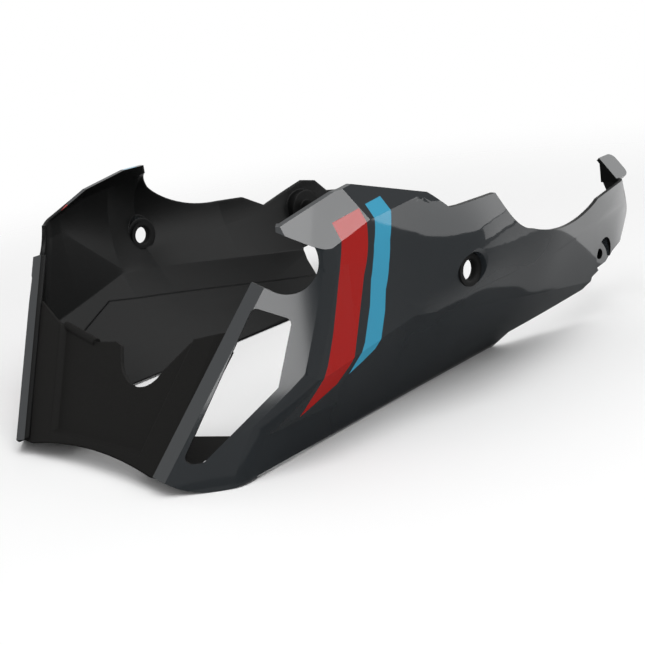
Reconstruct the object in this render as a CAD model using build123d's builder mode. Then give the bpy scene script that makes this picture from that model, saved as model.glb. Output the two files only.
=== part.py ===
from build123d import *
import os
from math import cos, radians, sin

# Belly pan of a motorcycle: two moulded side panels held together at the nose by a black centre panel.
# x runs rearwards, y to the rider's right, z up. The pan stands on its chin and its lower flanges.
# Places along the pan are given as distances from the nose, and half widths from its middle plane.
os.makedirs("parts", exist_ok=True)

# Walls and overall places
WALL = 3.0                      # moulded wall of all three panels
NOSE_X = -217.0                 # the nose, so that the origin is under the middle of the length
TAIL = 430.0                    # nose to the rearmost point of the rounded tail
BLANK_PAST = 12.0               # the side skins are drawn this far past nose and tail, then trimmed
BLANK_FRONT = -BLANK_PAST
BLANK_REAR = TAIL + BLANK_PAST
BLANK_MIDDLE = 50.0             # half width where the solid behind a side skin ends
BLANK_LOW = -15.0               # the side skins are drawn below the ground, then trimmed
OVERLAP = 10.0                  # how far cutting shapes run past what they cut
CUT_TOP = 220.0                 # cutting shapes reach up to here,
CUT_LOW = -60.0                 # down to here
CUT_HALF = 200.0                # and out to this half width

# Window frame at the front of a side panel, a plane that is swept and leans back
FRAME_SWEEP = 38.0              # degrees in plan
FRAME_LEAN = 15.5               # degrees from upright
STRIP_FOOT_HALF = 68.3          # half width at the foot of the strip beside the centre panel
STRIP_FOOT_Z = 12.5
STRIP_W = 11.5                  # width of the strip, which is a facet turned forwards
STRIP_TURN = 31.0               # degrees from the frame's plane
BAR_TURN = 9.7                  # degrees that the rest of the frame falls back from that plane
FRAME_CORNER_R = 13.0           # round between the frame and the side wall
TAIL_CORNER_R = 12.0            # round between the side wall and the tail
CORNER_HALF = 105.0             # both rounds lie outside this half width,
CORNER_TOP = 130.0              # and the frame's one below this height

# Lines of the side skin as (distance from nose, half width, height), front to rear
CHEEK = 114.0                   # where the front crease starts
BROW = 138.0                    # under the highest point of the lip
KINK = 164.0                    # where the creases meet
BULGE = 204.0                   # widest section, at the front fixing
FLANK = 290.0                   # where the lower flange starts to sweep out
WAIST = TAIL - 70               # where the flank turns in towards the tail
LIP_LINE = [(CHEEK, 117, 162), (BROW, 122, 167), (BULGE, 130, 166), (BLANK_REAR, 120, 170)]
SHOULDER = [(BLANK_FRONT, 142, 103.5), (CHEEK, 147.4, 136), (BROW, 148.5, 142),
            (BULGE, 150, 146.5), (FLANK, 147, 150), (BLANK_REAR, 133, 150)]
BELLY = [(BLANK_FRONT, 142.3, 97.5), (CHEEK, 148.4, 129), (KINK, 157, 108), (BULGE, 176, 104),
         (FLANK, 172, 102), (WAIST, 160.5, 102), (BLANK_REAR, 144, 106)]
UPPER_CREASE = [(BLANK_FRONT, 142.4, 91), (CHEEK, 148.6, 121), (KINK, 152, 77), (BULGE, 165, 76),
                (FLANK, 168, 76), (WAIST, 158.5, 78), (BLANK_REAR, 143, 80)]
LOWER_CREASE = [(CHEEK, 145.3, 61.7), (KINK, 151.5, 72), (BULGE, 155.5, 64.5), (FLANK, 155, 47.5),
                (WAIST, 151, 34.5), (BLANK_REAR, 139.5, 52)]
FOLD = [(CHEEK, 121, 26.3), (KINK, 122.5, 25.5), (FLANK, 128.5, 22), (WAIST, 148, 31.5),
        (BLANK_REAR, 137.5, 48)]
FLANGE = [(CHEEK, 110.7, 3.5), (FLANK, 104.3, 0), (WAIST, 138, 19), (BLANK_REAR, 128.8, 38)]
STATIONS = [BLANK_FRONT, CHEEK, BROW, KINK, BULGE, FLANK, WAIST, BLANK_REAR]

# Window, strip and chin on the window frame, as (outwards along the frame, up the frame)
STRIP_FOOT = (0, -1)            # foot of the strip, inner corner
STRIP_TOP_IN = (75, 111)        # upper end of the strip, inner corner
STRIP_TOP_OUT = (85.5, 105.5)   # upper end of the strip, where the round notch starts
NOTCH_LOW = (98.5, 101)         # lowest point of the round notch
NOTCH_TOP = (116, 127.1)        # where the notch meets the underside of the top facet
FACET_UNDER = (93, 139)         # underside of the top facet's tip
WINDOW = [(20, 5.4), (33.6, 5.3), (84, 46), (97.3, 86), (75, 96)]
WINDOW_R = 4.0
THROAT_DEPTH = 90.0             # the throat is cut this far behind the frame's plane
CHIN_REACH = 16.0               # depth of the chin's floor behind the frame
CHIN_STEP = (66.0, 12.5)        # lower edge from the front, as (half width, height): a straight, then an arc
CHIN_INNER = (80.0, 9.3)
CHIN_LOW = (103.0, 0.0)
CHIN_OUTER = (120.0, 4.7)
CHIN_REAR = 45.0                # nose to where the lower flange takes over from the chin
CHIN_REAR_Z = 2.4               # height of the lower edge there

# Side outlines as (distance from nose, height); the top ones start ahead of the tip
LEFT_TIP = [(28.6, 149.4), (88.6, 149.4), (132, 160), (146.5, 161.4), (192, 145.6), (197, 135), (241.5, 133)]
LEFT_SWOOP_END = (268, 102)
LEFT_SWOOP_SAG = 7.0            # hollow of the swoop behind the tip
LEFT_SAG = 8.1                  # hollow of the long dip that follows
LEFT_REAR = [(TAIL - 65, 96.2), (TAIL - 9.5, 97.5), (BLANK_REAR, 97.5)]
RIGHT_TIP = [(39, 131), (99, 131), (138, 148.2), (174, 154.2), (195.7, 152.6), (215.9, 128.9)]
RIGHT_SWOOP_SAG = 6.3
RIGHT_REAR = [(TAIL - 141, 97.6), (TAIL - 115.6, 94.6), (TAIL - 95.7, 82.5), (TAIL - 53, 94.3),
              (TAIL - 40.4, 91.2), (TAIL - 30.5, 79.7), (BLANK_REAR, 72)]
LOWER_FRONT = (CHIN_REAR, CHIN_REAR_Z)
LEFT_FLANGE_END = [(293.5, 0), (297.5, 12)]
RIGHT_FLANGE_END = [(TAIL - 78, 0)]
LOWER_REAR = [(TAIL - 73.5, 28.8), (TAIL - 69, 37.5), (TAIL - 42, 41), (TAIL - 33, 46.6),
              (TAIL - 11, 51.5), (BLANK_REAR, 54)]
TAIL_LINE = [(-16, 205), (-14, 125), (-9.5, 98), (0, 72), (-8.5, 52), (-18, 30), (-22, -45)]
LEDGE = 1.5                     # step on the inside, where the lower part of the wall is thicker
LEDGE_LINE = [(96, 43.3), (139.7, 59.1), (TAIL, 1)]

# Fixings of a side panel
FRONT_FIX = (201.7, 92.6)       # nose to the front fixing, and its height
GROMMET_BORE = 13.0             # diameter for the front bolt's sleeve
GROMMET_NECK = 17.0
GROMMET_FLANGE = 21.6
GROMMET_FLANGE_T = 1.6
GROMMET_ROUND = 2.1             # round at the ends of its bore
GROMMET_FIT = 0.1               # radial gap between the grommet's neck and its hole
CUP_DEPTH = 6.5                 # dished cup around the grommet, below the widest line of the skin
CUP_FLOOR_D = 22.0
CUP_FLARE = 12.0                # degrees that its side opens outwards
CUP_MOUTH_DEPTH = 2.5           # bevelled mouth of the cup
CUP_MOUTH_FLARE = 45.0
REAR_POCKET_D = 26.0
REAR_BOSS_D = 14.0
REAR_BORE_D = 8.0
REAR_BOSS_DEPTH = 15.0          # boss behind the pocket's floor
LEFT_REAR_FIX = (TAIL - 49, 49, 146)    # nose to the fixing, height, half width of the pocket's floor
RIGHT_REAR_FIX = (TAIL - 59, 71, 151)

# Return wall at the tail, and the left panel's ear
RETURN_HALF = 128.5             # half width where the return ends
EAR_X = TAIL - 13               # nose to the front of the ear's root
EAR_ROOT_Z = 94.0
EAR_OUTER = (143, 97)           # rim of the ear's root as (half width, height)
EAR_INNER = (128.5, 113)
EAR_REACH = 14.0                # the ear's length behind its root
EAR_R = 6.0

# Centre panel
PANEL_LEAN = 32.0               # degrees from upright
FLANK_RISE = 93.4               # flank's outer corner, up the panel
FLANK_TOP_HALF = 97.8           # half width there
RECESS = 4.0
RECESS_FOOT = (47.5, 7)         # lower corner of the recess as (half width, up the panel)
RECESS_TOP_HALF = 78.0          # half width at its upper end
RECESS_TAPER = 40.0
FLOOR_GAP = 0.4                 # between the floor and the window frames
LAP = 13.0                      # the lap flange's width and length behind a strip
LAP_RISE = 88.0
LAP_OUT = 8.5                   # its reach past the strip's inner edge
LAP_FOOT = 3.0
FLOOR_EAR_INNER = 38.0          # half widths of the floor's ears over the chins
FLOOR_EAR_OUTER = 99.0
FLOOR_REAR_INNER = 52.5         # nose to the ears' rear edge, at its inner and outer ends
FLOOR_REAR_OUTER = 81.0
FOOT_ARCH = 5.5                 # rise of the arch in the panel's foot
FOOT_ARCH_HALF = 62.0           # half width of that arch
FOOT_ARCH_DEPTH = 16.0          # nose to where the arch stops in the ears
PANEL_TOP = [(FLANK_TOP_HALF, FLANK_RISE), (64, 83.5), (44.4, 62.4)]
PANEL_NOTCH = (24, 49.2)        # lowest point of the notch in the top edge
BEAD = [(-30.4, 72.2), (-67.6, 79.7)]   # ends of the rolled bead on the top edge
PANEL_TOP_REST = [(1.5, 62.3), (-3.5, 73.5), (-9.6, 75.2)] + BEAD + [(-74, 82), (-FLANK_TOP_HALF, FLANK_RISE)]
BEAD_D = 6.0

# Screws that hold the centre panel's floor down on the chins
SCREW_X = 27.0                  # distance from nose
SCREW_HALF = 92.0
SCREW_D = 4.0
SCREW_LENGTH = 8.0
SCREW_HEAD_D = 8.4
SCREW_HEAD_H = 2.8
SCREW_FIT = 0.1                 # radial gap around the shank in its boss
SCREW_PASS = 0.3                # radial gap around the shank in the floor
SCREW_BOSS_D = 9.0
FLOOR_Z = 9.5                   # underside of the centre panel's floor, on top of the bosses


def place(line, x):
    """Half width and height of a skin line at a distance from the nose."""
    i = 0
    while i < len(line) - 2 and x > line[i + 1][0]:
        i += 1
    (x0, y0, z0), (x1, y1, z1) = line[i], line[i + 1]
    t = (x - x0) / (x1 - x0)
    return Vector(y0 + t * (y1 - y0), z0 + t * (z1 - z0))


def inset_profile(points, inset):
    """Points of an open profile moved in by a wall, with its two ends run on past the skin."""
    runs = [(b - a).normalized() for a, b in zip(points, points[1:])]
    normals = [Vector(run.Y, -run.X) for run in runs]
    moved = [points[0] + normals[0] * inset - runs[0] * OVERLAP]
    for point, before, after in zip(points[1:], normals, normals[1:]):
        moved.append(point + (before + after) * (inset / (1 + before.dot(after))))
    moved.append(points[-1] + normals[-1] * inset + runs[-1] * OVERLAP)
    return moved


def section(x, inset):
    """Closed section of the left skin at one station, as (y, z) points."""
    lines = (LIP_LINE, SHOULDER, BELLY, UPPER_CREASE, LOWER_CREASE, FOLD, FLANGE)
    points = [place(line, x) for line in lines]
    down = points[-1] - points[-2]
    points[-1] = points[-2] + down * ((BLANK_LOW - points[-2].Y) / down.Y)
    if inset:
        points = inset_profile(points, inset)
    return [(-p.X, p.Y) for p in points]


def mirrored(plane):
    """A left-hand plane's twin on the right."""
    origin, across, out = plane.origin, plane.x_dir, plane.z_dir
    return Plane(origin=(origin.X, -origin.Y, origin.Z), x_dir=(across.X, -across.Y, across.Z),
                 z_dir=(out.X, -out.Y, out.Z))


def frame_plane(inset=0.0):
    """Plane of the left window frame: origin at the foot of the strip, facing forwards."""
    sweep, lean = radians(FRAME_SWEEP), radians(FRAME_LEAN)
    outward = (-cos(sweep) * cos(lean), -sin(sweep) * cos(lean), sin(lean))
    return Plane(origin=(NOSE_X, -STRIP_FOOT_HALF, STRIP_FOOT_Z),
                 x_dir=(sin(sweep), -cos(sweep), 0), z_dir=outward).offset(-inset)


def strip_facet(inset=0.0):
    """Plane of the left strip: local x outwards across it, local y up its inner edge."""
    frame = frame_plane()
    across = (frame.x_dir * strip_run.Y - frame.y_dir * strip_run.X).normalized()
    turn = radians(STRIP_TURN)
    return Plane(origin=frame.origin, x_dir=across * cos(turn) + frame.z_dir * sin(turn),
                 z_dir=frame.z_dir * cos(turn) - across * sin(turn)).offset(-inset)


def bar_facet(inset=0.0):
    """Plane of the left frame outside the strip, folded back from the strip's outer edge."""
    strip = strip_facet()
    turn = radians(STRIP_TURN + BAR_TURN)
    return Plane(origin=strip.origin + strip.x_dir * STRIP_W,
                 x_dir=strip.x_dir * cos(turn) - strip.z_dir * sin(turn),
                 z_dir=strip.z_dir * cos(turn) + strip.x_dir * sin(turn)).offset(-inset)


def from_nose(points):
    """Side-view points in the row frame."""
    return [(NOSE_X + x, z) for x, z in points]


def side_cut(edge, first, last, level):
    """Solid between a side-view edge and a level beyond it, across the whole width."""
    with BuildPart() as cutter:
        with BuildSketch(Plane.XZ):
            with BuildLine():
                edge()
                Polyline(*from_nose([last, (last[0], level), (first[0], level), first]))
            make_face()
        extrude(amount=CUT_HALF, both=True)
    return cutter.part


def behind_tail(inset):
    """Everything behind the rounded tail, moved in by a wall."""
    line = from_nose([(TAIL + x - inset, z) for x, z in TAIL_LINE])
    rear = NOSE_X + BLANK_REAR + 2 * OVERLAP
    with BuildPart() as cutter:
        with BuildSketch(Plane.XZ):
            with BuildLine():
                Spline(*line)
                Polyline(line[-1], (rear, line[-1][1]), (rear, line[0][1]), line[0])
            make_face()
        extrude(amount=CUT_HALF, both=True)
    return cutter.part


def skin_block(inset):
    """Solid behind the left skin, from its wall to the pan's middle, moved in by a wall."""
    with BuildPart() as block:
        for x in STATIONS:
            lip, shoulder, belly, upper, lower, fold, flange = section(x, inset)
            with BuildSketch(Plane.YZ.offset(NOSE_X + x)):
                with BuildLine():
                    Line(lip, shoulder)
                    ThreePointArc(shoulder, belly, upper)
                    Polyline(upper, lower, fold, flange, (-BLANK_MIDDLE, flange[1]),
                             (-BLANK_MIDDLE, lip[1]), lip)
                make_face()
        loft(ruled=True)
        split(bisect_by=strip_facet(inset), keep=Keep.BOTTOM)
        split(bisect_by=bar_facet(inset), keep=Keep.BOTTOM)
        add(behind_tail(inset), mode=Mode.SUBTRACT)
        front = faces().filter_by(bar_facet(inset)).sort_by(Axis.X)[0]
        corner = front.edges().filter_by(lambda e: e.center().Y < -CORNER_HALF and 0 < e.center().Z < CORNER_TOP)
        fillet(corner, FRAME_CORNER_R - inset)
        rear = faces().sort_by(Axis.X)[-1]
        corner = rear.edges().filter_by(lambda e: e.center().Y < -CORNER_HALF)
        fillet(corner, TAIL_CORNER_R - inset)
    return block.part


strip_run = (Vector(*STRIP_TOP_IN) - Vector(*STRIP_FOOT)).normalized()
outer = skin_block(0.0)
inner = skin_block(WALL)
cup_floor = place(BELLY, FRONT_FIX[0]).X - CUP_DEPTH

# Thicker lower part of the wall, with a ledge along its top
with BuildPart() as thickening:
    add(inner)
    add(skin_block(WALL + LEDGE), mode=Mode.SUBTRACT)
    with BuildSketch(Plane.XZ):
        with BuildLine():
            Polyline(*from_nose([(LEDGE_LINE[0][0], CUT_LOW)] + LEDGE_LINE + [(TAIL, CUT_LOW)]), close=True)
        make_face()
    extrude(amount=CUT_HALF, both=True, mode=Mode.INTERSECT)

# Chin floor behind the window frame, following the chin's arc, with its screw boss
with BuildPart() as chin:
    with BuildSketch(Plane.YZ.offset(NOSE_X - 3 * OVERLAP)):
        with BuildLine():
            ThreePointArc(*[(-y, z) for y, z in (CHIN_INNER, CHIN_LOW, CHIN_OUTER)])
            ThreePointArc(*[(-y, z + WALL) for y, z in (CHIN_OUTER, CHIN_LOW, CHIN_INNER)])
            Line((-CHIN_INNER[0], CHIN_INNER[1] + WALL), (-CHIN_INNER[0], CHIN_INNER[1]))
            Line((-CHIN_OUTER[0], CHIN_OUTER[1] + WALL), (-CHIN_OUTER[0], CHIN_OUTER[1]))
        make_face()
    extrude(amount=BLANK_REAR)
    split(bisect_by=frame_plane(CHIN_REACH), keep=Keep.TOP)
    split(bisect_by=Plane.XZ.offset(SCREW_HALF - SCREW_BOSS_D / 2 - WALL / 2), keep=Keep.TOP)
    add(outer, mode=Mode.INTERSECT)

# Left skin with everything that both side panels share
with BuildPart() as blank:
    add(outer)
    add(inner, mode=Mode.SUBTRACT)
    add(thickening.part)
    # throat between the two panels: inward of the strip, over its end and through the round notch
    with BuildSketch(frame_plane(THROAT_DEPTH)):
        with BuildLine():
            Polyline((0, CUT_LOW), STRIP_FOOT, STRIP_TOP_IN, STRIP_TOP_OUT)
            ThreePointArc(STRIP_TOP_OUT, NOTCH_LOW, NOTCH_TOP)
            Polyline(NOTCH_TOP, FACET_UNDER, (FACET_UNDER[0], CUT_TOP), (-STRIP_FOOT_HALF - OVERLAP, CUT_TOP),
                     (-STRIP_FOOT_HALF - OVERLAP, CUT_LOW), (0, CUT_LOW))
        make_face()
    extrude(amount=2 * THROAT_DEPTH, mode=Mode.SUBTRACT)
    # window
    with BuildSketch(frame_plane(2 * FRAME_CORNER_R)):
        with BuildLine():
            Polyline(*WINDOW, close=True)
        make_face()
        fillet(vertices(), WINDOW_R)
    extrude(amount=5 * FRAME_CORNER_R, mode=Mode.SUBTRACT)
    # underside of the chin
    with BuildSketch(Plane.YZ.offset(NOSE_X - 3 * OVERLAP)):
        with BuildLine():
            ThreePointArc(*[(-y, z) for y, z in (CHIN_INNER, CHIN_LOW, CHIN_OUTER)])
            Polyline((-CHIN_OUTER[0], CHIN_OUTER[1]), (-CUT_HALF, CHIN_OUTER[1]), (-CUT_HALF, CUT_LOW),
                     (0, CUT_LOW), (0, CHIN_STEP[1]), (-CHIN_STEP[0], CHIN_STEP[1]),
                     (-CHIN_INNER[0], CHIN_INNER[1]))
        make_face()
    extrude(amount=3 * OVERLAP + CHIN_REAR, mode=Mode.SUBTRACT)
    add(chin.part)
    # screw boss on the chin floor
    with BuildSketch(Plane.XY.offset(CHIN_LOW[1])):
        with Locations((NOSE_X + SCREW_X, -SCREW_HALF)):
            Circle(SCREW_BOSS_D / 2)
    extrude(amount=FLOOR_Z - CHIN_LOW[1])
    with BuildSketch(Plane.XY.offset(FLOOR_Z)):
        with Locations((NOSE_X + SCREW_X, -SCREW_HALF)):
            Circle(SCREW_D / 2 + SCREW_FIT)
    extrude(amount=WALL - SCREW_LENGTH - SCREW_FIT, mode=Mode.SUBTRACT)
    # front fixing: a cup with a floor that holds the grommet
    with BuildSketch(Plane.XZ.offset(cup_floor - WALL)):
        with Locations((NOSE_X + FRONT_FIX[0], FRONT_FIX[1])):
            Circle(CUP_FLOOR_D / 2 + WALL)
    cup = extrude(amount=2 * OVERLAP, taper=-CUP_FLARE, mode=Mode.PRIVATE)
    add(cup & outer)
    for depth, flare in ((CUP_DEPTH, CUP_FLARE), (CUP_MOUTH_DEPTH, CUP_MOUTH_FLARE)):
        with BuildSketch(Plane.XZ.offset(cup_floor + CUP_DEPTH - depth)):
            with Locations((NOSE_X + FRONT_FIX[0], FRONT_FIX[1])):
                Circle(CUP_FLOOR_D / 2)
        extrude(amount=2 * OVERLAP, taper=-flare, mode=Mode.SUBTRACT)
    with BuildSketch(Plane.XZ.offset(cup_floor)):
        with Locations((NOSE_X + FRONT_FIX[0], FRONT_FIX[1])):
            Circle(GROMMET_NECK / 2 + GROMMET_FIT)
    extrude(amount=OVERLAP, both=True, mode=Mode.SUBTRACT)
    with BuildSketch(Plane.XZ.offset(cup_floor - WALL)):
        with Locations((NOSE_X + FRONT_FIX[0], FRONT_FIX[1])):
            Circle(GROMMET_FLANGE / 2 + GROMMET_FIT)
    extrude(amount=-OVERLAP, mode=Mode.SUBTRACT)
    # inner edge of the return wall at the tail
    with BuildSketch(Plane.YZ.offset(NOSE_X + TAIL - 4 * TAIL_CORNER_R)):
        with Locations((-RETURN_HALF, 0)):
            Rectangle(CUT_HALF, 2 * CUT_TOP, align=(Align.MIN, Align.CENTER))
    extrude(amount=6 * TAIL_CORNER_R, mode=Mode.SUBTRACT)


def left_top():
    """Top edge of the left panel."""
    Polyline(*from_nose(LEFT_TIP))
    SagittaArc(*from_nose([LEFT_TIP[-1], LEFT_SWOOP_END]), -LEFT_SWOOP_SAG)
    SagittaArc(*from_nose([LEFT_SWOOP_END, LEFT_REAR[0]]), -LEFT_SAG)
    Polyline(*from_nose(LEFT_REAR))


def right_top():
    """Top edge of the right panel."""
    Polyline(*from_nose(RIGHT_TIP))
    SagittaArc(*from_nose([RIGHT_TIP[-1], RIGHT_REAR[0]]), -RIGHT_SWOOP_SAG)
    Polyline(*from_nose(RIGHT_REAR))


def left_lower():
    """Lower edge of the left panel behind its chin."""
    Polyline(*from_nose([LOWER_FRONT] + LEFT_FLANGE_END + LOWER_REAR))


def right_lower():
    """Lower edge of the right panel, with a longer flange."""
    Polyline(*from_nose([LOWER_FRONT] + RIGHT_FLANGE_END + LOWER_REAR))


def rear_fixing(fix):
    """Solid to add behind a left panel's rear pocket, boss to add inside it and solid to cut from it."""
    x, z, half = fix
    with BuildPart() as disc:
        with BuildSketch(Plane.XZ.offset(half - WALL)):
            with Locations((NOSE_X + x, z)):
                Circle(REAR_POCKET_D / 2 + WALL)
        extrude(amount=5 * OVERLAP)
        add(outer, mode=Mode.INTERSECT)
    with BuildPart() as boss:
        with BuildSketch(Plane.XZ.offset(half - REAR_BOSS_DEPTH)):
            with Locations((NOSE_X + x, z)):
                Circle(REAR_BOSS_D / 2)
        extrude(amount=REAR_BOSS_DEPTH)
    with BuildPart() as cut:
        with BuildSketch(Plane.XZ.offset(half)):
            with Locations((NOSE_X + x, z)):
                Circle(REAR_POCKET_D / 2)
        extrude(amount=5 * OVERLAP)
        with BuildSketch(Plane.XZ.offset(half - 2 * REAR_BOSS_DEPTH)):
            with Locations((NOSE_X + x, z)):
                Circle(REAR_BORE_D / 2)
        extrude(amount=3 * REAR_BOSS_DEPTH)
    return disc.part, boss.part, cut.part


above_left = side_cut(left_top, LEFT_TIP[0], LEFT_REAR[-1], CUT_TOP)
below_left = side_cut(left_lower, LOWER_FRONT, LOWER_REAR[-1], CUT_LOW)
disc, boss, pocket = rear_fixing(LEFT_REAR_FIX)
ear_rim = Vector(0, EAR_OUTER[0] - EAR_INNER[0], EAR_INNER[1] - EAR_OUTER[1])
ear_plane = Plane(origin=(NOSE_X + EAR_X, -EAR_OUTER[0], EAR_OUTER[1]), x_dir=(1, 0, 0),
                  z_dir=Vector(1, 0, 0).cross(ear_rim))

with BuildPart() as left_side_panel:
    add(blank.part)
    add(disc)
    add(above_left, mode=Mode.SUBTRACT)
    add(below_left, mode=Mode.SUBTRACT)
    add(boss)
    add(pocket, mode=Mode.SUBTRACT)
    # the ear's root above the return wall, and the ear that runs back from its rim
    with BuildSketch(Plane.YZ.offset(NOSE_X + EAR_X)):
        with BuildLine():
            Polyline((-EAR_OUTER[0], EAR_OUTER[1]), (-EAR_INNER[0], EAR_INNER[1]),
                     (-EAR_INNER[0], EAR_ROOT_Z), (-EAR_OUTER[0], EAR_ROOT_Z), close=True)
        make_face()
    extrude(amount=WALL)
    with BuildSketch(ear_plane):
        Rectangle(WALL + EAR_REACH, ear_rim.length, align=Align.MIN)
        fillet(vertices().group_by(Axis.X)[-1], EAR_R)
    extrude(amount=-WALL)
left_side_panel.part.label = "left_side_panel"
export_step(left_side_panel.part, "parts/left_side_panel.step")

# The right panel is drawn on the left and mirrored
above_right = side_cut(right_top, RIGHT_TIP[0], RIGHT_REAR[-1], CUT_TOP)
below_right = side_cut(right_lower, LOWER_FRONT, LOWER_REAR[-1], CUT_LOW)
disc, boss, pocket = rear_fixing(RIGHT_REAR_FIX)

with BuildPart() as right_form:
    add(blank.part)
    add(disc)
    add(above_right, mode=Mode.SUBTRACT)
    add(below_right, mode=Mode.SUBTRACT)
    add(boss)
    add(pocket, mode=Mode.SUBTRACT)

with BuildPart() as right_side_panel:
    add(mirror(right_form.part, about=Plane.XZ))
right_side_panel.part.label = "right_side_panel"
export_step(right_side_panel.part, "parts/right_side_panel.step")

with BuildPart() as mount_grommets:
    for depth, diameter, thickness in (
            (cup_floor - WALL - GROMMET_FLANGE_T, GROMMET_FLANGE, GROMMET_FLANGE_T),
            (cup_floor - WALL, GROMMET_NECK, WALL),
            (cup_floor, GROMMET_FLANGE, GROMMET_FLANGE_T)):
        with BuildSketch(Plane.XZ.offset(depth)):
            with Locations((NOSE_X + FRONT_FIX[0], FRONT_FIX[1])):
                Circle(diameter / 2)
                Circle(GROMMET_BORE / 2, mode=Mode.SUBTRACT)
        extrude(amount=thickness)
    bore = faces().filter_by(GeomType.CYLINDER).sort_by(SortBy.RADIUS)[0]
    fillet(bore.edges().filter_by(GeomType.CIRCLE), GROMMET_ROUND)
    mirror(about=Plane.XZ)
mount_grommets.part.label = "mount_grommets"
export_step(mount_grommets.part, "parts/mount_grommets.step")

# Left ear of the centre panel's floor, cut clear of the window frame
with BuildPart() as floor_ear:
    with BuildSketch(Plane.XY.offset(FLOOR_Z)):
        with BuildLine():
            Polyline((NOSE_X, -FLOOR_EAR_INNER), (NOSE_X + FLOOR_REAR_INNER, -FLOOR_EAR_INNER),
                     (NOSE_X + FLOOR_REAR_OUTER, -FLOOR_EAR_OUTER), (NOSE_X, -FLOOR_EAR_OUTER), close=True)
        make_face()
    extrude(amount=WALL)
    split(bisect_by=strip_facet(WALL + FLOOR_GAP), keep=Keep.BOTTOM)
    split(bisect_by=bar_facet(WALL + FLOOR_GAP), keep=Keep.BOTTOM)

# The centre panel stands behind the strips, in a plane that leans back with their inner edges
lean = radians(PANEL_LEAN)
set_back = WALL / (cos(radians(FRAME_SWEEP)) * cos(radians(FRAME_LEAN)))
panel_plane = Plane(origin=(NOSE_X + set_back, 0, STRIP_FOOT_Z), x_dir=(0, -1, 0),
                    z_dir=(-cos(lean), 0, sin(lean)))
panel_foot = (FLOOR_Z - STRIP_FOOT_Z) / cos(lean)
flank_slope = (FLANK_TOP_HALF - STRIP_FOOT_HALF) / FLANK_RISE
foot_half = STRIP_FOOT_HALF + flank_slope * panel_foot
rise = FLANK_RISE + OVERLAP
rise_half = STRIP_FOOT_HALF + flank_slope * rise

# Bead along the right part of the top edge, centred in the recessed sheet
bead_start = panel_plane.from_local_coords(Vector(*BEAD[0], -RECESS - WALL / 2))
bead_end = panel_plane.from_local_coords(Vector(*BEAD[1], -RECESS - WALL / 2))
bead_run = bead_end - bead_start
bead_plane = Plane(origin=bead_start, z_dir=bead_run)

with BuildPart() as front_centre_panel:
    with BuildSketch(panel_plane):
        with BuildLine():
            Polyline((-foot_half, panel_foot), (foot_half, panel_foot), (rise_half, rise), (-rise_half, rise),
                     close=True)
        make_face()
    extrude(amount=-WALL)
    with BuildSketch(panel_plane):
        with BuildLine():
            Polyline((-RECESS_FOOT[0] - WALL, RECESS_FOOT[1] - WALL),
                     (RECESS_FOOT[0] + WALL, RECESS_FOOT[1] - WALL),
                     (RECESS_TOP_HALF + WALL, rise), (-RECESS_TOP_HALF - WALL, rise), close=True)
        make_face()
    extrude(amount=-RECESS - WALL, taper=RECESS_TAPER)
    with BuildSketch(panel_plane):
        with BuildLine():
            Polyline((-RECESS_FOOT[0], RECESS_FOOT[1]), (RECESS_FOOT[0], RECESS_FOOT[1]),
                     (RECESS_TOP_HALF, rise + OVERLAP), (-RECESS_TOP_HALF, rise + OVERLAP), close=True)
        make_face()
    extrude(amount=-RECESS, taper=RECESS_TAPER, mode=Mode.SUBTRACT)
    # top edge with its notch
    with BuildSketch(panel_plane):
        with BuildLine():
            Polyline(*PANEL_TOP)
            ThreePointArc(PANEL_TOP[-1], PANEL_NOTCH, PANEL_TOP_REST[0])
            Polyline(*PANEL_TOP_REST, (-2 * rise_half, PANEL_TOP[0][1]), (-2 * rise_half, 2 * rise),
                     (2 * rise_half, 2 * rise), (2 * rise_half, PANEL_TOP[0][1]), PANEL_TOP[0])
        make_face()
    extrude(amount=5 * OVERLAP, both=True, mode=Mode.SUBTRACT)
    # rolled bead on the right of the top edge, in the recess
    with BuildSketch(bead_plane):
        Circle(BEAD_D / 2)
    extrude(amount=bead_run.length)
    split(bisect_by=Plane.XY.offset(FLOOR_Z), keep=Keep.TOP)
    split(bisect_by=strip_facet(WALL), keep=Keep.BOTTOM)
    split(bisect_by=mirrored(strip_facet(WALL)), keep=Keep.BOTTOM)
    # lap flanges that lie against the backs of the strips
    with BuildSketch(strip_facet(WALL)):
        with Locations((LAP_OUT, LAP_FOOT)):
            Rectangle(LAP, LAP_RISE, align=(Align.MAX, Align.MIN))
    lap = extrude(amount=-WALL)
    mirror(lap, about=Plane.XZ)
    # floor ears, and the arched foot between them
    add(floor_ear.part)
    add(mirror(floor_ear.part, about=Plane.XZ))
    split(bisect_by=panel_plane, keep=Keep.BOTTOM)
    with BuildSketch(Plane.YZ.offset(NOSE_X - OVERLAP)):
        with BuildLine():
            ThreePointArc((-FOOT_ARCH_HALF, FLOOR_Z), (0, FLOOR_Z + FOOT_ARCH), (FOOT_ARCH_HALF, FLOOR_Z))
            Line((FOOT_ARCH_HALF, FLOOR_Z), (-FOOT_ARCH_HALF, FLOOR_Z))
        make_face()
    extrude(amount=OVERLAP + FOOT_ARCH_DEPTH, mode=Mode.SUBTRACT)
    for side in (-1, 1):
        with BuildSketch(Plane.XY.offset(FLOOR_Z)):
            with Locations((NOSE_X + SCREW_X, side * SCREW_HALF)):
                Circle(SCREW_D / 2 + SCREW_PASS)
        extrude(amount=WALL, mode=Mode.SUBTRACT)
front_centre_panel.part.label = "front_centre_panel"
export_step(front_centre_panel.part, "parts/front_centre_panel.step")

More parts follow.
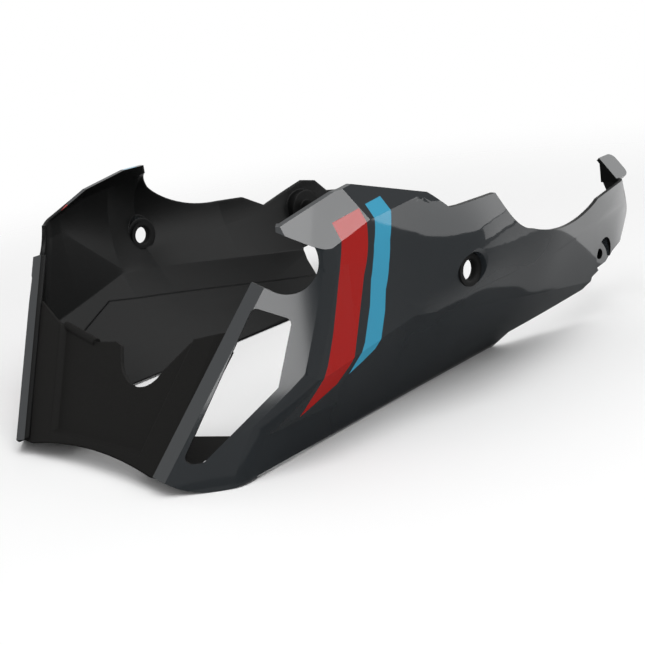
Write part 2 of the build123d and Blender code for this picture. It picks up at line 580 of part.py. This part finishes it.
# Pan head screws down through the floor's ears into the chin bosses
with BuildPart() as joint_screws:
    for side in (-1, 1):
        with BuildSketch(Plane.XY.offset(FLOOR_Z + WALL - SCREW_LENGTH)):
            with Locations((NOSE_X + SCREW_X, side * SCREW_HALF)):
                Circle(SCREW_D / 2)
        extrude(amount=SCREW_LENGTH)
        with BuildSketch(Plane.XY.offset(FLOOR_Z + WALL)):
            with Locations((NOSE_X + SCREW_X, side * SCREW_HALF)):
                Circle(SCREW_HEAD_D / 2)
        extrude(amount=SCREW_HEAD_H)
joint_screws.part.label = "joint_screws"
export_step(joint_screws.part, "parts/joint_screws.step")
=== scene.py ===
"""Looks of the motorcycle belly pan: lacquered side panels with two stripes, the rest matt black."""
import math

import bpy
import numpy as np
from mathutils import Matrix, Vector

# Camera of the photograph, in metres, degrees and pixels
CAMERA_PLACE = Vector((-0.6820, -0.7223, 0.3419))
CAMERA_AZIMUTH = 43.80
CAMERA_ELEVATION = 17.38
CAMERA_ROLL = -8.62
IMAGE_SIDE = 645
FOCAL_PIXELS = 1400.0
SENSOR = 36.0                   # millimetres

# Outside, inside and rims of the side panels, in metres and degrees
LEFT, RIGHT = -1, 1             # sides, as signs of Y
OUTSIDE, INSIDE = 0, 1          # slots of a side panel's two materials
AXIS_FRONT = -0.12              # ends of the line inside the pan that tells outside from inside
AXIS_REAR = 0.15
AXIS_HEIGHT = 0.07
FRAME_REAR = -0.09              # the window frames lie ahead of this
FRAME_SWEEP = 38.0              # the window frames' plane is swept and leans back
FRAME_LEAN = 15.5
RIM_FLAT = 0.02                 # the normal of a rim has less than this along the way of its cut
RIM_UP = 0.3                    # the normal of a lacquered rim has more than this upwards
RIM_LOW = 0.14                  # lacquered rims lie above this

# Shading of the flank's soft folds, in metres and degrees
FLANK_FRONT = -0.106            # the flank starts here
FLANK_TILT = 42.0               # lacquered faces that tilt up less than this are the flank
FOLD_TURN = 32.0                # folds that turn and tilt by less than this are shaded as curves
FOLD_TILT = 16.0
FOLD_REACH = 0.016              # how far the shading of a soft fold reaches
JOIN_ANGLE = 14.0               # normals that meet at less than this become one
SAMPLE_STEP = 0.010             # spacing of the points that the shading is worked out from
PLACE_DIGITS = 5                # corners whose places agree to these digits meet

# Stripes: edges from the top end down to the tip, as millimetres from the nose and height
RED_FRONT = [(116.2, 145.2), (111.2, 133.0), (107.6, 123.4), (105.0, 114.8), (95.7, 80.5),
             (89.8, 63.0), (86.0, 55.7), (79.0, 30.2)]
RED_REAR = [(137.6, 149.0), (134.6, 140.2), (131.4, 130.5), (126.0, 113.6), (116.2, 78.3),
            (111.8, 63.3), (109.4, 55.0), (104.1, 44.6), (79.0, 30.2)]
BLUE_FRONT = [(143.7, 149.9), (141.1, 139.7), (135.2, 127.0), (132.2, 116.4), (127.5, 89.8),
              (120.7, 68.0), (117.1, 61.5), (113.1, 48.4)]
BLUE_REAR = [(158.0, 151.3), (156.8, 142.5), (148.2, 126.6), (144.2, 113.0), (139.2, 82.9),
             (134.3, 66.8), (131.4, 59.6), (123.1, 54.0), (113.1, 48.4)]
STRIPE_HEIGHTS = (20.0, 160.0)  # ranges that the curves of the edges cover
STRIPE_PLACES = (60.0, 180.0)
STRIPE_SOFT = 0.35              # width over which an edge fades
RIGHT_RED_SHIFT = -14.0         # the right panel's stripes lie further ahead or back
RIGHT_BLUE_SHIFT = 31.0
RIGHT_TOP_LIFT = 20.0           # and run up to its rim
NOSE_X = -0.217                 # metres
MM_PER_M = 1000.0

# Colours, linear
LACQUER_GREY = (0.019, 0.022, 0.0245, 1)
STRIPE_RED = (0.34, 0.005, 0.003, 1)
STRIPE_BLUE = (0.038, 0.29, 0.45, 1)
INSIDE_BLACK = (0.005, 0.0052, 0.0052, 1)
CENTRE_BLACK = (0.008, 0.0078, 0.0074, 1)
RUBBER_BLACK = (0.006, 0.006, 0.006, 1)
SCREW_STEEL = (0.55, 0.55, 0.56, 1)
FLOOR_PALE = (0.97, 0.97, 0.97, 1)
# colours of the cards that paint shade into the lacquer's reflections
SHADE_CARD_BLACK = (0.0, 0.0, 0.0, 1)
SHADOW_CARD_GREY = (0.25, 0.25, 0.25, 1)
WORLD_WHITE = (1, 1, 1, 1)

# Finishes
LACQUER_ROUGH = 0.4
COAT_ROUGH = 0.07
COAT_IOR = 1.25                 # low, so that the white surroundings don't wash out the stripes
MATT_SPECULAR = 0.045           # sheen of what isn't metal
METAL_SPECULAR = 0.5
INSIDE_ROUGH = 0.38
CENTRE_ROUGH = 0.62
RUBBER_ROUGH = 0.7
SCREW_ROUGH = 0.35
FLOOR_ROUGH = 0.9
CARD_ROUGH = 1.0
INSIDE_GRAIN = 900.0            # scales of the moulded grain
CENTRE_GRAIN = 1100.0
INSIDE_DEPTH = 0.0002           # depths of the grain, in metres
CENTRE_DEPTH = 0.0005
GRAIN_DETAIL = 2.0
GRAIN_STRENGTH = 0.25
FOLD_ROUND = 0.0018             # rounding of the matt plastic's folds, in metres
FOLD_SAMPLES = 6

# Studio, in metres and watts
WORLD_DIFFUSE = 0.6             # light of the surroundings, which are white where they are seen
FLOOR_FULL = 0.35               # the floor is whole up to here, and gone at its end
FLOOR_END = 0.9

# Lamps: place, point that it faces, width, height and watts
KEY_BOX = ((-0.4, -0.7, 1.7), (0, 0, 0.08), 1.4, 1.4, 19)
REFLECTIONS = {
    "top_reflection": ((0.20, -0.62, 1.15), (0.20, -0.60, 0), 0.62, 1.04, 29),
    "front_reflection": ((-1.28, -0.83, 0.20), (-0.15, -0.13, 0.10), 0.68, 0.30, 11),
    "side_reflection": ((0.62, -0.95, 0.67), (0.0, -0.15, 0.10), 1.7, 0.86, 30),
    "corner_reflection": ((-1.03, 0.56, 0.62), (-0.19, -0.1, 0.07), 0.6, 0.5, 2),
    "arc_reflection": ((0.95, -0.72, 0.13), (0.05, -0.17, 0.10), 0.8, 0.26, 2.8),
    "tail_reflection": ((0.63, -0.325, 0.004), (0.63, -0.305, 1.0), 0.74, 0.45, 1.6),
}

# Dark cards that paint shade into the lacquer's reflections: place, point that it faces, width, height
# and colour
SHADE_CARDS = {
    # painted shade: a black card that darkens the reflections in the front corner beside the window frame
    "front_shade_card": ((-0.975, -1.31, 0.26), (-0.13, -0.14, 0.10), 0.42, 0.5, SHADE_CARD_BLACK),
    # painted shadow: a grey card under the pan that stands for the floor in the pan's shadow, seen in the
    # lower flank's reflection
    "floor_shadow_card": ((-0.045, -0.035, 0.003), (-0.045, -0.035, 1.0), 0.45, 0.27, SHADOW_CARD_GREY),
}


def principled(name):
    """A new material and its shader."""
    material = bpy.data.materials.new(name)
    material.use_nodes = True
    return material, material.node_tree.nodes["Principled BSDF"]


def plain(name, colour, roughness, metallic=0.0):
    """A material of one colour."""
    material, shader = principled(name)
    shader.inputs["Base Color"].default_value = colour
    shader.inputs["Roughness"].default_value = roughness
    shader.inputs["Metallic"].default_value = metallic
    shader.inputs["Specular IOR Level"].default_value = METAL_SPECULAR if metallic else MATT_SPECULAR
    return material


def grained(name, colour, roughness, grain, depth):
    """A matt moulded plastic with a fine grain and softly rounded folds."""
    material = plain(name, colour, roughness)
    nodes, links = material.node_tree.nodes, material.node_tree.links
    place = nodes.new("ShaderNodeTexCoord")
    noise = nodes.new("ShaderNodeTexNoise")
    noise.inputs["Scale"].default_value = grain
    noise.inputs["Detail"].default_value = GRAIN_DETAIL
    rounding = nodes.new("ShaderNodeBevel")
    rounding.samples = FOLD_SAMPLES
    rounding.inputs["Radius"].default_value = FOLD_ROUND
    bump = nodes.new("ShaderNodeBump")
    bump.inputs["Strength"].default_value = GRAIN_STRENGTH
    bump.inputs["Distance"].default_value = depth
    links.new(rounding.outputs["Normal"], bump.inputs["Normal"])
    links.new(place.outputs["Object"], noise.inputs["Vector"])
    links.new(noise.outputs["Fac"], bump.inputs["Height"])
    links.new(bump.outputs["Normal"], nodes["Principled BSDF"].inputs["Normal"])
    return material


def math_node(tree, operation, first, second):
    """The result of one math node; each input is a socket or a number."""
    node = tree.nodes.new("ShaderNodeMath")
    node.operation = operation
    for socket, value in zip(node.inputs, (first, second)):
        if isinstance(value, (int, float)):
            socket.default_value = value
        else:
            tree.links.new(value, socket)
    return node.outputs[0]


def edge_curve(tree, height, edge):
    """Place of a stripe's edge, in millimetres from the nose, at a height."""
    low, high = STRIPE_HEIGHTS
    first, last = STRIPE_PLACES
    share = math_node(tree, "DIVIDE", math_node(tree, "SUBTRACT", height, low), high - low)
    node = tree.nodes.new("ShaderNodeFloatCurve")
    points = node.mapping.curves[0].points
    wanted = sorted(((z - low) / (high - low), (x - first) / (last - first)) for x, z in edge)
    while len(points) < len(wanted):
        points.new(0.5, 0.5)
    for point, location in zip(points, wanted):
        point.location = location
        point.handle_type = "VECTOR"
    node.mapping.extend = "HORIZONTAL"
    node.mapping.update()
    tree.links.new(share, node.inputs["Value"])
    scaled = math_node(tree, "MULTIPLY", node.outputs["Value"], last - first)
    return math_node(tree, "ADD", scaled, first)


def rising(tree, value):
    """0 below zero and 1 above it, fading over the stripe's soft edge."""
    node = tree.nodes.new("ShaderNodeMapRange")
    node.inputs["From Min"].default_value = -STRIPE_SOFT / 2
    node.inputs["From Max"].default_value = STRIPE_SOFT / 2
    tree.links.new(value, node.inputs["Value"])
    return node.outputs["Result"]


def stripe_mask(tree, place, height, lift, front, rear):
    """1 inside a stripe and 0 outside it, at a place and a height; the lift raises its top end."""
    ahead = math_node(tree, "SUBTRACT", place, edge_curve(tree, height, front))
    behind = math_node(tree, "SUBTRACT", edge_curve(tree, height, rear), place)
    (x0, z0), (x1, z1) = front[0], rear[0]
    slope = (z1 - z0) / (x1 - x0)
    top = math_node(tree, "ADD", math_node(tree, "MULTIPLY", place, slope), z0 - slope * x0)
    under = math_node(tree, "SUBTRACT", math_node(tree, "ADD", top, lift), height)
    over = math_node(tree, "SUBTRACT", height, front[-1][1])
    mask = rising(tree, ahead)
    for margin in (behind, under, over):
        mask = math_node(tree, "MULTIPLY", mask, rising(tree, margin))
    return mask


def lacquer():
    """Glossy dark grey lacquer with the red and the blue stripe under its clear coat."""
    material, shader = principled("panel_lacquer")
    tree = material.node_tree
    coordinates = tree.nodes.new("ShaderNodeTexCoord")
    axes = tree.nodes.new("ShaderNodeSeparateXYZ")
    tree.links.new(coordinates.outputs["Object"], axes.inputs["Vector"])
    from_nose = math_node(tree, "SUBTRACT", axes.outputs["X"], NOSE_X)
    place = math_node(tree, "MULTIPLY", from_nose, MM_PER_M)
    height = math_node(tree, "MULTIPLY", axes.outputs["Z"], MM_PER_M)
    right = math_node(tree, "GREATER_THAN", axes.outputs["Y"], 0.0)
    lift = math_node(tree, "MULTIPLY", right, RIGHT_TOP_LIFT)
    colour = None
    for front, rear, paint, shift in ((RED_FRONT, RED_REAR, STRIPE_RED, RIGHT_RED_SHIFT),
                                      (BLUE_FRONT, BLUE_REAR, STRIPE_BLUE, RIGHT_BLUE_SHIFT)):
        along = math_node(tree, "SUBTRACT", place, math_node(tree, "MULTIPLY", right, shift))
        mix = tree.nodes.new("ShaderNodeMix")
        mix.data_type = "RGBA"
        tree.links.new(stripe_mask(tree, along, height, lift, front, rear), mix.inputs["Factor"])
        ground, stripe = (socket for socket in mix.inputs if socket.type == "RGBA")
        if colour is None:
            ground.default_value = LACQUER_GREY
        else:
            tree.links.new(colour, ground)
        stripe.default_value = paint
        colour = next(socket for socket in mix.outputs if socket.type == "RGBA")
    tree.links.new(colour, shader.inputs["Base Color"])
    shader.inputs["Roughness"].default_value = LACQUER_ROUGH
    shader.inputs["Specular IOR Level"].default_value = 0.0
    shader.inputs["Coat Weight"].default_value = 1.0
    shader.inputs["Coat IOR"].default_value = COAT_IOR
    shader.inputs["Coat Roughness"].default_value = COAT_ROUGH
    return material


def frame_normal(side):
    """The way that a side panel's window frame looks."""
    sweep, lean = math.radians(FRAME_SWEEP), math.radians(FRAME_LEAN)
    return Vector((-math.cos(sweep) * math.cos(lean), side * math.sin(sweep) * math.cos(lean),
                   math.sin(lean)))


def is_outside(face, frame_way):
    """Whether a face of a side panel is lacquered: not an inner face, nor a rim that doesn't look up."""
    if abs(face.normal.y) < RIM_FLAT:
        return face.normal.z > RIM_UP and face.center.z > RIM_LOW
    if face.center.x < FRAME_REAR and abs(face.normal.dot(frame_way)) < RIM_FLAT:
        return False
    x = min(max(face.center.x, AXIS_FRONT), AXIS_REAR)
    return face.normal.dot(face.center - Vector((x, 0, AXIS_HEIGHT))) > 0


def is_flank(face):
    """Whether a lacquered face lies on the flank, where the folds are soft."""
    return face.center.x > FLANK_FRONT and face.normal.z < math.sin(math.radians(FLANK_TILT))


def turn_and_tilt(normals):
    """Degrees by which faces turn along the pan, and by which they tilt up."""
    turn = np.degrees(np.arctan2(normals[:, 0], np.abs(normals[:, 1])))
    return turn, np.degrees(np.arcsin(np.clip(normals[:, 2], -1, 1)))


def spread(mesh, faces):
    """Points spread evenly over faces, as places, normals and shares of area."""
    places, normals, shares = [], [], []
    for face in faces:
        first, second, third = (mesh.vertices[vertex].co for vertex in face.vertices)
        longest = max((first - second).length, (second - third).length, (third - first).length)
        steps = math.ceil(longest / SAMPLE_STEP)
        for i in range(steps):
            for j in range(steps - i):
                u, v = (i + 1 / 3) / steps, (j + 1 / 3) / steps
                places.append(first * (1 - u - v) + second * u + third * v)
                normals.append(face.normal)
                shares.append(2 * face.area / (steps * (steps + 1)))
    return np.array(places), np.array(normals), np.array(shares)


def mean_normal(place, places, normals, shares):
    """The normal of the points around a place, where near points count for more."""
    reach = ((places - np.array(place)) ** 2).sum(axis=1)
    weights = shares * np.exp(-reach / (2 * FOLD_REACH ** 2))
    return Vector((normals * weights[:, None]).sum(axis=0)).normalized()


def smooth_flank(mesh):
    """Let the shading of the lacquered flank run on over its facets, as on a moulding with soft folds."""
    flank = [face for face in mesh.polygons if face.material_index == OUTSIDE and is_flank(face)]
    places, normals, shares = spread(mesh, flank)
    turns, tilts = turn_and_tilt(normals)
    shading = [Vector(corner.vector) for corner in mesh.corner_normals]
    meeting = {}
    for face in flank:
        turn, tilt = turn_and_tilt(np.array([face.normal]))
        alike = (np.abs(turns - turn) < FOLD_TURN) & (np.abs(tilts - tilt) < FOLD_TILT)
        around = places[alike], normals[alike], shares[alike]
        for corner in face.loop_indices:
            place = mesh.vertices[mesh.loops[corner].vertex_index].co
            shading[corner] = mean_normal(place, *around)
            spot = tuple(round(value, PLACE_DIGITS) for value in place)
            meeting.setdefault(spot, []).append(corner)
        face.use_smooth = True
    joined = list(shading)
    for corners in meeting.values():
        for corner in corners:
            near = [shading[other] for other in corners
                    if shading[other].angle(shading[corner]) < math.radians(JOIN_ANGLE)]
            joined[corner] = sum(near, Vector()).normalized()
    mesh.normals_split_custom_set(joined)


def repaint(node, *materials):
    """New materials for a node."""
    node.data.materials.clear()
    for material in materials:
        node.data.materials.append(material)


def paint_side_panel(panel, side, outside, inside):
    """Lacquer on the outside of a side panel, matt black on its inside and on the rims of its wall."""
    repaint(panel, outside, inside)
    frame_way = frame_normal(side)
    for face in panel.data.polygons:
        face.material_index = OUTSIDE if is_outside(face, frame_way) else INSIDE
    smooth_flank(panel.data)


def camera():
    """Camera at the photograph's place and angle."""
    azimuth, elevation = math.radians(CAMERA_AZIMUTH), math.radians(CAMERA_ELEVATION)
    roll = math.radians(CAMERA_ROLL)
    back = Vector((-math.sin(azimuth) * math.cos(elevation), -math.cos(azimuth) * math.cos(elevation),
                   math.sin(elevation)))
    level = Vector((math.cos(azimuth), -math.sin(azimuth), 0))
    upright = back.cross(level)
    right = level * math.cos(roll) + upright * math.sin(roll)
    up = upright * math.cos(roll) - level * math.sin(roll)
    data = bpy.data.cameras.new("camera")
    data.sensor_width = SENSOR
    data.lens = FOCAL_PIXELS * SENSOR / IMAGE_SIDE
    view = bpy.data.objects.new("camera", data)
    turn = Matrix((right, up, back)).transposed().to_4x4()
    view.matrix_world = Matrix.Translation(CAMERA_PLACE) @ turn
    bpy.context.scene.collection.objects.link(view)
    bpy.context.scene.camera = view


def aim(thing, place, target, axis):
    """Put a lamp or a card at a place, with one of its axes towards a point."""
    thing.location = place
    thing.rotation_mode = "QUATERNION"
    thing.rotation_quaternion = (Vector(target) - Vector(place)).to_track_quat(axis, "Y")


def softbox(name, place, target, width, height, watts, only_reflected):
    """A rectangular lamp that faces a point; some are seen only as reflections."""
    data = bpy.data.lights.new(name, "AREA")
    data.shape = "RECTANGLE"
    data.size, data.size_y = width, height
    data.energy = watts
    lamp = bpy.data.objects.new(name, data)
    aim(lamp, place, target, "-Z")
    lamp.visible_diffuse = not only_reflected
    bpy.context.scene.collection.objects.link(lamp)


def reflected_shade_card(name, place, target, width, height, colour):
    """A dark card that is seen only as a reflection, where it paints shade."""
    bpy.ops.mesh.primitive_plane_add(size=1)
    card = bpy.context.object
    card.name = name
    aim(card, place, target, "Z")
    card.scale = (width, height, 1)
    card.data.materials.append(plain(name, colour, CARD_ROUGH))
    card.visible_camera = card.visible_diffuse = card.visible_shadow = False


def floor_material():
    """Pale floor that fades into the white surroundings away from the pan."""
    material = plain("floor_pale", FLOOR_PALE, FLOOR_ROUGH)
    nodes, links = material.node_tree.nodes, material.node_tree.links
    shader = nodes["Principled BSDF"]
    shader.inputs["Specular IOR Level"].default_value = 0.0
    place = nodes.new("ShaderNodeTexCoord")
    reach = nodes.new("ShaderNodeVectorMath")
    reach.operation = "LENGTH"
    fade = nodes.new("ShaderNodeMapRange")
    fade.interpolation_type = "SMOOTHSTEP"
    fade.inputs["From Min"].default_value = FLOOR_FULL
    fade.inputs["From Max"].default_value = FLOOR_END
    fade.inputs["To Min"].default_value = 1.0
    fade.inputs["To Max"].default_value = 0.0
    links.new(place.outputs["Object"], reach.inputs[0])
    links.new(reach.outputs["Value"], fade.inputs["Value"])
    links.new(fade.outputs["Result"], shader.inputs["Alpha"])
    return material


def lay_floor():
    """Floor under the pan."""
    bpy.ops.mesh.primitive_plane_add(size=2 * FLOOR_END)
    floor = bpy.context.object
    floor.name = "floor"
    floor.data.materials.append(floor_material())


def surroundings():
    """A world that is white where it is seen or mirrored, and lights the pan less than that."""
    world = bpy.data.worlds.new("studio")
    bpy.context.scene.world = world
    world.use_nodes = True
    tree = world.node_tree
    background = tree.nodes["Background"]
    rays = tree.nodes.new("ShaderNodeLightPath").outputs
    seen = math_node(tree, "MAXIMUM", rays["Is Camera Ray"], rays["Is Glossy Ray"])
    seen = math_node(tree, "MAXIMUM", seen, rays["Is Transmission Ray"])
    extra = math_node(tree, "MULTIPLY", seen, 1.0 - WORLD_DIFFUSE)
    strength = math_node(tree, "ADD", extra, WORLD_DIFFUSE)
    tree.links.new(strength, background.inputs["Strength"])
    background.inputs["Color"].default_value = WORLD_WHITE


def studio():
    """Pale floor, white surroundings, soft lamps and dark cards that paint shade into reflections."""
    lay_floor()
    surroundings()
    softbox("key_box", *KEY_BOX, only_reflected=False)
    for name, settings in REFLECTIONS.items():
        softbox(name, *settings, only_reflected=True)
    for name, settings in SHADE_CARDS.items():
        reflected_shade_card(name, *settings)


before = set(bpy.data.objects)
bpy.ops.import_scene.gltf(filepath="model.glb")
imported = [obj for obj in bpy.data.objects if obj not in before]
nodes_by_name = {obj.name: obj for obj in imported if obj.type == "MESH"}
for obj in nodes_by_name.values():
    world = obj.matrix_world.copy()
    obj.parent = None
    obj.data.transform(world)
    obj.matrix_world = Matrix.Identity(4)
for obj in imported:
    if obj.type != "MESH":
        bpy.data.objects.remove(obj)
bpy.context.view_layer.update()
lacquered = lacquer()
inside_black = grained("inside_black", INSIDE_BLACK, INSIDE_ROUGH, INSIDE_GRAIN, INSIDE_DEPTH)
centre_black = grained("centre_black", CENTRE_BLACK, CENTRE_ROUGH, CENTRE_GRAIN, CENTRE_DEPTH)
for name, side in (("left_side_panel", LEFT), ("right_side_panel", RIGHT)):
    paint_side_panel(nodes_by_name[name], side, lacquered, inside_black)
repaint(nodes_by_name["front_centre_panel"], centre_black)
repaint(nodes_by_name["mount_grommets"], plain("rubber_black", RUBBER_BLACK, RUBBER_ROUGH))
repaint(nodes_by_name["joint_screws"], plain("screw_steel", SCREW_STEEL, SCREW_ROUGH, metallic=1.0))
camera()
studio()
bpy.context.scene.view_settings.view_transform = "Standard"
